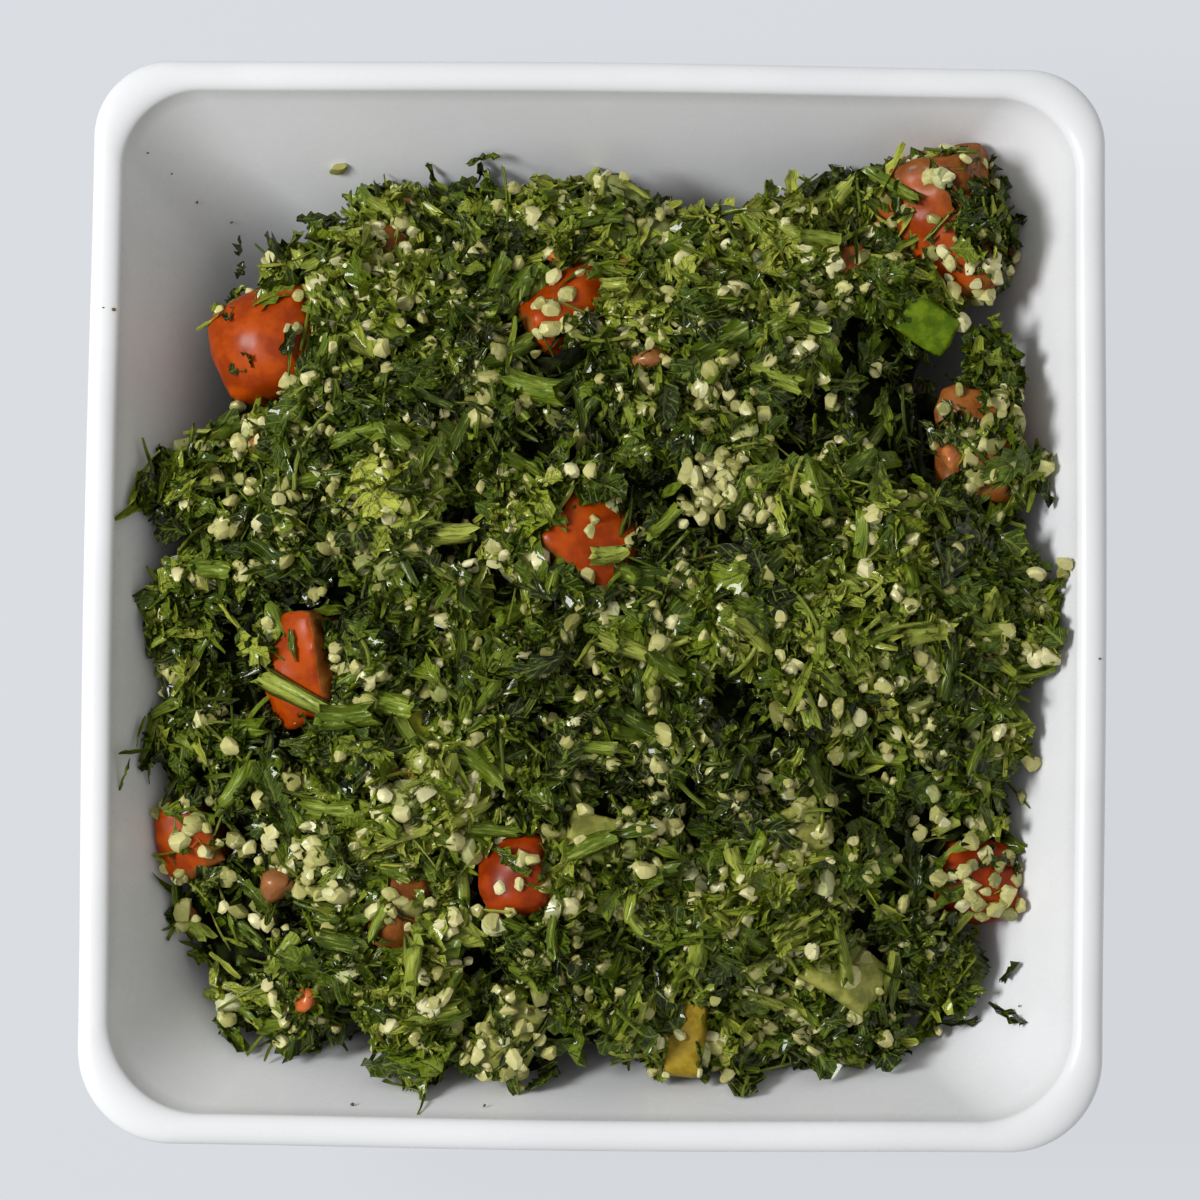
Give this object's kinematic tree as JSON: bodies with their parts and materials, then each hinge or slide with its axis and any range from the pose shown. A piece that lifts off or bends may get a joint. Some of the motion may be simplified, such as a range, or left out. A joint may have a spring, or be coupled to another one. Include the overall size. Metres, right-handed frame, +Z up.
{
  "type": "bowl of tabbouleh salad",
  "caption": "Square flared porcelain bowl filled with a loose heap of chopped parsley and bulgur, with diced tomato, onion, cucumber and pepper sunk in it.",
  "frame": {"origin": "middle of the underside of the bowl's foot ring, on the surface that the bowl stands on", "axes": "+Z up through the mouth of the bowl, +Y along the bowl's longer side towards its far edge, +X to the right"},
  "size_m": [0.14, 0.1494, 0.0545],
  "materials": {
    "porcelain": "glossy off-white glaze",
    "chopped_herbs": "oily chopped parsley with pale bulgur",
    "tomato": "wet orange-red skin with duller cut flesh",
    "onion": "wet, pale and slightly see-through",
    "cucumber": "wet bright green",
    "pepper": "wet yellow-ochre"
  },
  "bodies": {
    "root": {"bowl": "porcelain", "salad_heap": "chopped_herbs", "tomato_left_dome": "tomato", "tomato_far_left": "tomato", "tomato_far_wedge": "tomato", "tomato_corner_block": "tomato", "tomato_corner_bit": "tomato", "tomato_right_block": "tomato", "tomato_middle": "tomato", "tomato_left_wedge": "tomato", "tomato_left_edge": "tomato", "tomato_near_left": "tomato", "tomato_near_middle": "tomato", "tomato_right_edge": "tomato", "onion_far_strip": "onion", "onion_near_block": "onion", "onion_near_dice": "onion", "onion_near_petal": "onion", "onion_edge_ring": "onion", "cucumber_corner_dice": "cucumber", "pepper_left_strip": "pepper", "pepper_near_strip": "pepper"}
  },
  "joints": []
}
